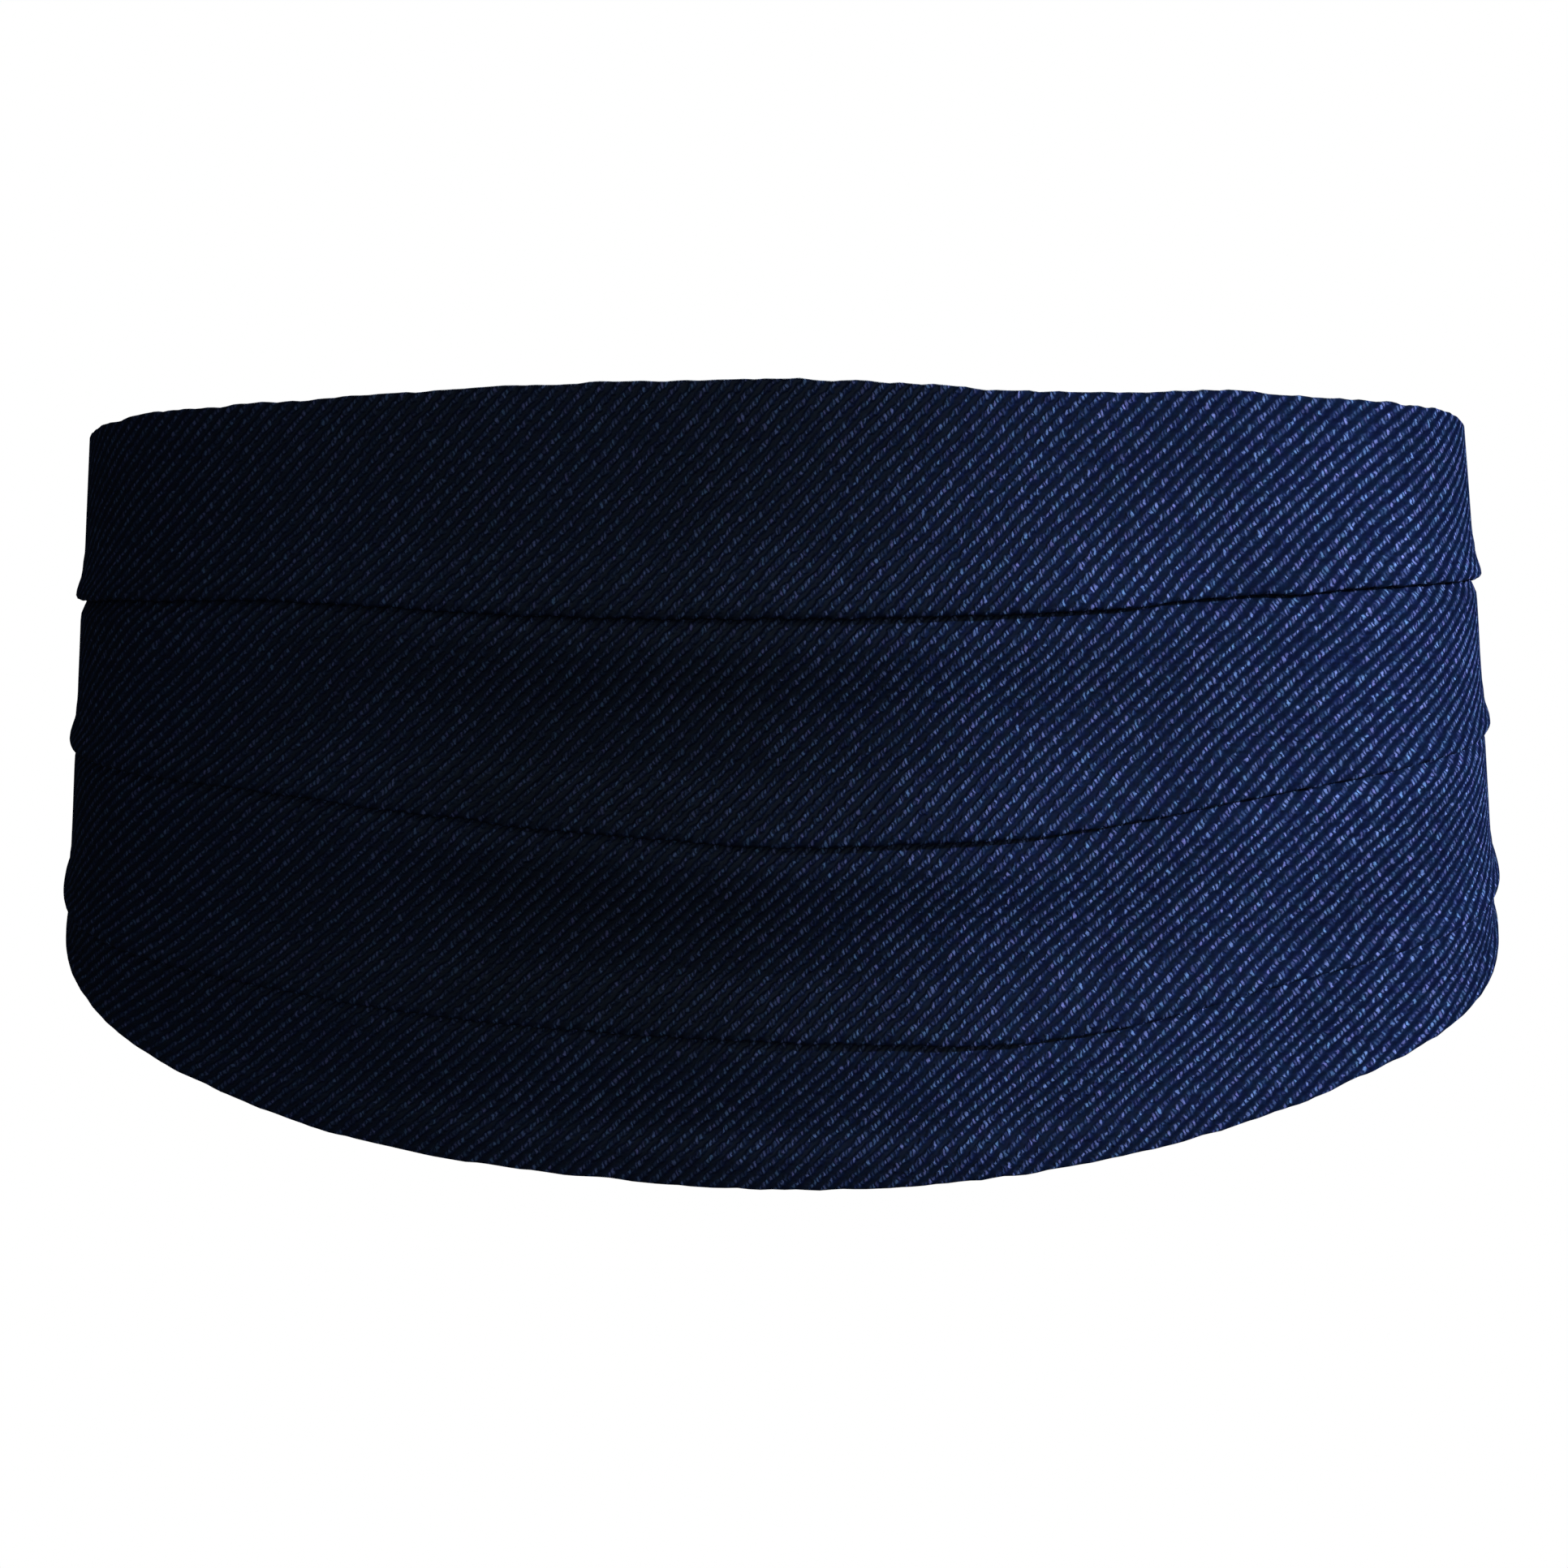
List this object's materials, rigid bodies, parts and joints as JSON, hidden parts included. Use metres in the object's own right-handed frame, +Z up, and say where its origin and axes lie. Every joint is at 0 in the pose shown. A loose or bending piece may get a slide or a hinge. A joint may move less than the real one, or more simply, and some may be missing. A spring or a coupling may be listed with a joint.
{
  "type": "cummerbund",
  "caption": "Navy twill cummerbund in its worn form: a pleated front that tapers to its ends, with straps joined by a clasp at the back.",
  "frame": {"origin": "middle of the waist opening at half the height of the pleated front", "axes": "+Z up, the pleated front faces -Y, +X is on the right of someone who looks at the front"},
  "size_m": [0.2978, 0.228, 0.1252],
  "materials": {
    "navy_twill": "navy diagonal twill cloth with a soft sheen, ribs 1.7 mm apart that rise to the right",
    "navy_webbing": "dark navy woven strap, matt",
    "dark_metal": "dark plated steel, satin"
  },
  "bodies": {
    "root": {"pleated_front": "navy_twill", "strap_left": "navy_webbing", "strap_right": "navy_webbing", "back_clasp": "dark_metal"}
  },
  "joints": []
}
